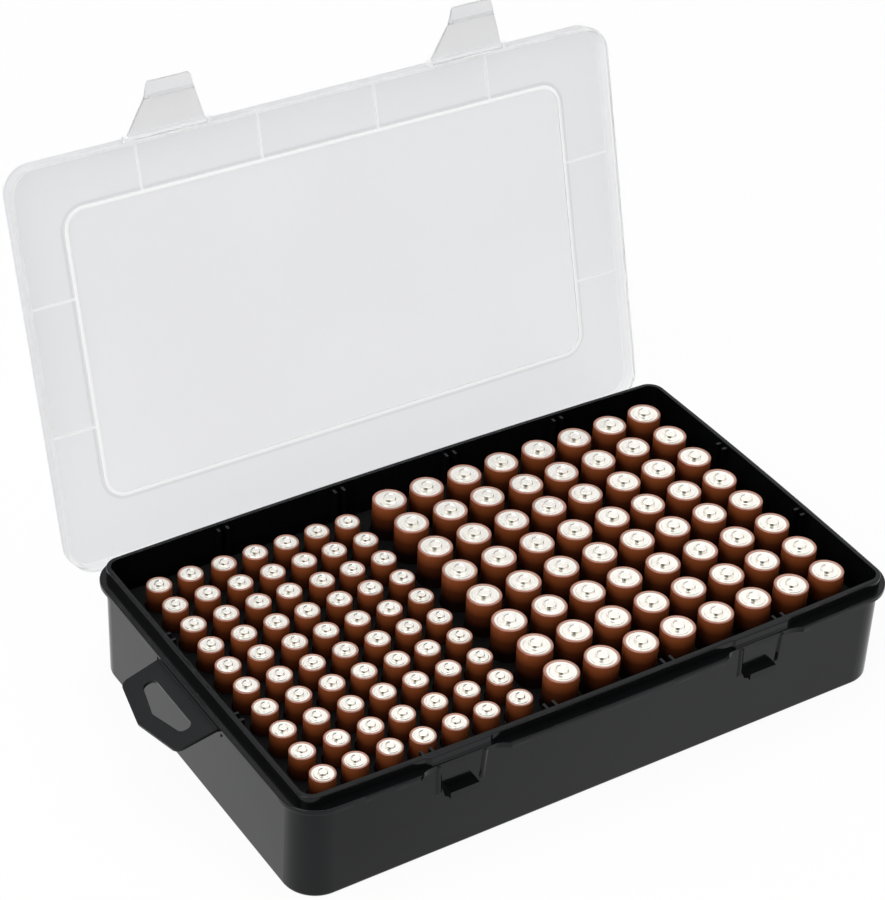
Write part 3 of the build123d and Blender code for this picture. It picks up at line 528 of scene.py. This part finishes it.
def reflection_darkness(cells, radius, angle):
    """How dark the painted reflection on a steep face of a cell's top is, by its distance from the axis
    and its direction.
    """
    nub = cells["nub_dia"] / 2
    if radius < nub * DIMPLE_SHARE:
        dark, reflection_windows = DIMPLE_DARK, DIMPLE_REFLECTIONS
    elif radius < nub + CONTACT_FLARE:
        dark, reflection_windows = CONTACT_DARK, CONTACT_REFLECTIONS
    else:
        dark, reflection_windows = cells["step_reflection"], STEP_REFLECTIONS
    return dark * max(window(angle, *reflection_window) for reflection_window in reflection_windows)


def can_edge_shade(cells, radius):
    """One in the painted shade beside the sleeve's edge, fading towards the axis."""
    return unit((radius - (cells["dia"] / 2 - cells["lip"]) + EDGE_SHADE_REACH) / EDGE_SHADE_FADE)


def jacket_fold_highlight(cells, radius):
    """Zero at the sleeve's outer face and one at its folded edge."""
    return unit((cells["dia"] / 2 - radius) / cells["lip"])


def sharp_corners(profile):
    """Whether each point of a profile is a hard corner."""
    sharp = [False]
    for corner in zip(profile, profile[1:], profile[2:]):
        a, b, c = (Vector(point) for point in corner)
        sharp.append(math.degrees((b - a).angle(c - b)) > HARD_EDGE)
    return sharp + [False]


def turned(name, profile, edge_light_and_shade, places, cells):
    """One mesh of equal turned bodies, each at its own place with its own turn and lean."""
    segments = cells["segments"]
    lip = cells["length"] - cells["nub"]
    off_within = cells["dia"] / 2 - cells["lip"] + OFF_PAST_EDGE
    sharp = sharp_corners(profile)
    mesh = bmesh.new()
    # layers: distance from the axis, depth below the lip, painted reflection, painted shade on cans and
    # painted highlight on sleeves by the sleeve's edge, and random tone
    layers = [mesh.verts.layers.float.new(key)
              for key in ("from_axis", "below_top", "contact", "edge_light_and_shade", "tone")]
    for x, y, turn, lean_x, lean_y, slip, tone in places:
        lean = Matrix.Rotation(lean_x, 4, "X") @ Matrix.Rotation(lean_y, 4, "Y")
        stand = Matrix.Translation((x * MM, y * MM, FLOOR * MM))
        place = stand @ lean @ Matrix.Rotation(turn, 4, "Z")
        rings = []
        for radius, height in profile:
            moves = lip - OFF_BELOW_LIP < height <= lip and radius < off_within
            ring = []
            for step in range(segments if radius else 1):
                angle = 2 * math.pi * step / segments
                across, along = radius * math.cos(angle), radius * math.sin(angle)
                point = Vector((across * MM, along * MM, height * MM))
                if moves:
                    point.x += slip * MM
                vert = mesh.verts.new(place @ point)
                # darkness of the painted reflection at this vertex
                contact = reflection_darkness(cells, radius, math.degrees(angle + turn) - FRONT_RIGHT)
                values = (radius * MM, (lip - height) * MM, contact, edge_light_and_shade(cells, radius), tone)
                for layer, value in zip(layers, values):
                    vert[layer] = value
                ring.append(vert)
            rings.append(ring)
        for low, high, hard in zip(rings, rings[1:], sharp):
            join_rings(mesh, low, high)
            if hard:
                for step in range(segments):
                    mesh.edges.get((low[step], low[(step + 1) % segments])).smooth = False
    for face in mesh.faces:
        face.smooth = True
    return linked(name, mesh)


def rounded(points, steps=4):
    """Profile of (radius, height) points, where a point's third number rounds its corner."""
    out = []
    for index, point in enumerate(points):
        if len(point) == 2:
            out.append(point)
            continue
        a, b, c = (Vector(points[i][:2]) for i in (index - 1, index, index + 1))
        start = b + (a - b).normalized() * point[2]
        end = b + (c - b).normalized() * point[2]
        for step in range(steps + 1):
            t = step / steps
            on_curve = start * (1 - t) ** 2 + b * 2 * t * (1 - t) + end * t * t
            out.append((on_curve.x, on_curve.y))
    return out


def can_profile(cells):
    """Steel can: foot, wall, shoulder, sunk ring, raised plateau, and contact with its dimple."""
    wall = cells["dia"] / 2 - JACKET_THICK
    top = cells["length"]
    shoulder = top - cells["nub"] - JACKET_THICK
    edge = cells["dia"] / 2 - cells["lip"]
    nub = cells["nub_dia"] / 2
    step = nub + (edge - nub) * PLATEAU_SHARE
    return rounded([
        (0, 0), (wall - CAN_ROUND, 0), (wall, CAN_ROUND),
        (wall, shoulder - CAN_ROUND), (wall - CAN_ROUND, shoulder), (edge + 0.05, shoulder),
        (edge - 0.45, shoulder - RING_SINK / 2), (step + 0.12, shoulder - RING_SINK),
        (step, shoulder + PLATEAU_RISE, 0.08), (nub + 0.30, shoulder + 0.14, 0.12),
        (nub + 0.02, shoulder + 0.22, 0.10), (nub - 0.10, top, 0.22),
        (nub * 0.82, top), (nub * 0.72, top - DIMPLE_DEPTH), (0, top - DIMPLE_DEPTH)])


def jacket_profile(cells):
    """Sleeve with its folded top ring, closed on itself."""
    outer = cells["dia"] / 2
    inner = outer - JACKET_THICK
    lip = cells["length"] - cells["nub"]
    edge = outer - cells["lip"]
    return rounded([
        (inner, JACKET_FOOT), (outer, JACKET_FOOT), (outer, lip, 0.5), (edge + 0.3, lip - 0.05, 0.2),
        (edge, lip - 0.15), (inner - CAN_ROUND, lip - JACKET_THICK),
        (inner, lip - JACKET_THICK - CAN_ROUND), (inner, JACKET_FOOT)])


def column_places(cells, column, draw):
    """Places of one column's cells, with each cell's own turn, lean, slip off the axis and tone."""
    out = []
    for row in range(cells["rows"]):
        x = cells["first"][0] + column * cells["pitch"][0]
        y = cells["first"][1] - row * cells["pitch"][1]
        turn = draw.uniform(0, 2 * math.pi)
        lean_x = draw.uniform(-CELL_LEAN, CELL_LEAN)
        lean_y = draw.uniform(-CELL_LEAN, CELL_LEAN)
        out.append((x, y, turn, lean_x, lean_y, draw.uniform(0, OFF_CENTRE), draw.random()))
    return out


# ---- front wall at the latches --------------------------------------------------------------------
def wall_y(x, z):
    """The front wall's face at a place along it and a height."""
    return -(WALL_Y + BOW * (1 - (x / BOW_HALF) ** 2) * z / WALL_TOP)


def skinned(name, sections, material):
    """Closed piece of the case through sections of equal point counts."""
    mesh = bmesh.new()
    rings = [[mesh.verts.new([value * MM for value in point]) for point in section]
             for section in sections]
    for low, high in zip(rings, rings[1:]):
        join_rings(mesh, low, high)
    mesh.faces.new(rings[0])
    mesh.faces.new(rings[-1])
    piece = linked(name, mesh)
    piece.data.materials.append(material)
    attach(piece, "case")


def flush_strip(name, middle, material):
    """Fillet that carries the wall smoothly up into the rim where the ledge is gone."""
    sections = []
    for step in range(STRIP_STEPS + 1):
        x = middle + GAP_HALF * (2 * step / STRIP_STEPS - 1)
        sections.append([(x, wall_y(x, STRIP_LOW) - STRIP_PROUD_LOW, STRIP_LOW),
                         (x, -PAD_Y - STRIP_PROUD_HIGH, STRIP_HIGH)]
                        + [(x, -PAD_Y + inside, z) for inside, z in STRIP_INNER])
    skinned(name, sections, material)


def guide_flank(name, middle, hand, material):
    """Soft flanks on a guide rib, so that it reads as a low crease in the wall."""
    sections = []
    for z, spread, crest in GUIDE_SECTIONS:
        x = middle + hand * spread
        root = wall_y(x, z) + GUIDE_ROOT_SUNK
        sections.append([(x - GUIDE_ROOT_HALF, root, z), (x - GUIDE_CREST_HALF, -crest, z),
                         (x + GUIDE_CREST_HALF, -crest, z), (x + GUIDE_ROOT_HALF, root, z)])
    skinned(name, sections, material)


# ---- dress the solids that stay -------------------------------------------------------------------
black = moulded("case_gloss_black", dark=0.0020, pale=0.0032, rough=(0.12, 0.18), grain=0.02, gloss=0.21)
FINISHES = {
    "case_base": black,
    "side_loop": moulded("loop_satin_black", dark=0.0030, pale=0.0050, rough=(0.32, 0.42), grain=0.05,
                         gloss=0.20),
    "cell_holder": holder_material(),
    "lid": lid_material(),
    "latch_left": latch_material(),
    "hinge_pin_left": pin_material(),
}
FINISHES["latch_right"] = FINISHES["latch_left"]
FINISHES["hinge_pin_right"] = FINISHES["hinge_pin_left"]
for name, material in FINISHES.items():
    data = nodes[name].data
    data.materials.clear()
    data.materials.append(material)

# ---- turned cells in place of the plain ones ------------------------------------------------------
CELL_PARTS = (("cans", can_profile, can_edge_shade, metal_material(), "cell_metal"),
              ("jackets", jacket_profile, jacket_fold_highlight, jacket_material(), "cell_jacket"))
cell_draw = random.Random(4127)
for kind, cells in (("large", LARGE), ("small", SMALL)):
    for column in range(cells["columns"]):
        places = column_places(cells, column, cell_draw)
        for part, profile, edge_light_and_shade, material, finish in CELL_PARTS:
            piece = turned(f"{kind}_{part}_turned_{column + 1}", profile(cells), edge_light_and_shade, places, cells)
            piece.data.materials.append(material)
            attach(piece, "case")
            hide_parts(f"{kind}_{part}_column_{column + 1}")

for side, middle in (("left", -LATCH_X), ("right", LATCH_X)):
    flush_strip(f"flush_strip_{side}", middle, black)
    for hand, where in ((-1, "near"), (1, "far")):
        guide_flank(f"guide_flank_{side}_{where}", middle, hand, black)

# ---- floor and light ------------------------------------------------------------------------------
floor_mesh = bpy.data.meshes.new("floor")
floor_corners = [(x * STUDIO_HALF, y * STUDIO_HALF, 0)
                 for x, y in ((-1, -1), (1, -1), (1, 1), (-1, 1))]
floor_mesh.from_pydata(floor_corners, [], [(0, 1, 2, 3)])
floor = bpy.data.objects.new("floor", floor_mesh)
floor.location.z = -STUDIO_DROP
bpy.context.scene.collection.objects.link(floor)
floor_mesh.materials.append(floor_material())

world = bpy.data.worlds.new("studio")
bpy.context.scene.world = world
world.use_nodes = True
sky = Tree(world.node_tree)
ambient = world.node_tree.nodes["Background"]
seen = sky.add("ShaderNodeBackground")
for background, strength in ((ambient, AMBIENT), (seen, 1.0)):
    background.inputs["Color"].default_value = WHITE
    background.inputs["Strength"].default_value = strength
sky.blend(sky.seen_rays(), ambient.outputs[0], seen.outputs[0], "World Output")


def softbox(name, place, aim, size, watts):
    """Area lamp that points at a spot (in metres)."""
    lamp = bpy.data.lights.new(name, "AREA")
    lamp.shape = "RECTANGLE"
    lamp.size, lamp.size_y = size
    lamp.energy = watts
    holder = bpy.data.objects.new(name, lamp)
    holder.location = place
    holder.rotation_euler = (Vector(aim) - Vector(place)).to_track_quat("-Z", "Y").to_euler()
    bpy.context.scene.collection.objects.link(holder)


softbox("key_left", place=(-1.5, -0.5, 1.3), aim=(0, 0, 0.05), size=(1.0, 1.2), watts=17.0)
softbox("top_wide", place=(0.2, 0.1, 1.9), aim=(0, 0, 0.0), size=(1.6, 1.6), watts=10.0)

# ---- camera, fitted to the photo ------------------------------------------------------------------
CAMERA_PLACE = Vector((-528.53, -753.48, 752.80)) * MM
CAMERA_RIGHT = Vector((0.83488, -0.54781, 0.05363))
CAMERA_DOWN = Vector((-0.27787, -0.50358, -0.81804))
CAMERA_AHEAD = Vector((0.47515, 0.66807, -0.57264))
FOCAL_PIXELS = 2858.5
PHOTO_WIDTH = 885
MIDDLE_OFF = -77.5                    # lens shift, in photo pixels
lens = bpy.data.cameras.new("camera")
lens.sensor_fit = "HORIZONTAL"
lens.sensor_width = 36.0
lens.lens = FOCAL_PIXELS * lens.sensor_width / PHOTO_WIDTH
lens.shift_x = MIDDLE_OFF / PHOTO_WIDTH
lens.clip_start = 0.01
lens.clip_end = 50.0
camera = bpy.data.objects.new("camera", lens)
aim = Matrix((CAMERA_RIGHT, -CAMERA_DOWN, -CAMERA_AHEAD)).transposed()
camera.matrix_world = Matrix.Translation(CAMERA_PLACE) @ aim.to_quaternion().to_matrix().to_4x4()
bpy.context.scene.collection.objects.link(camera)
bpy.context.scene.camera = camera

bpy.context.scene.view_settings.view_transform = "Standard"
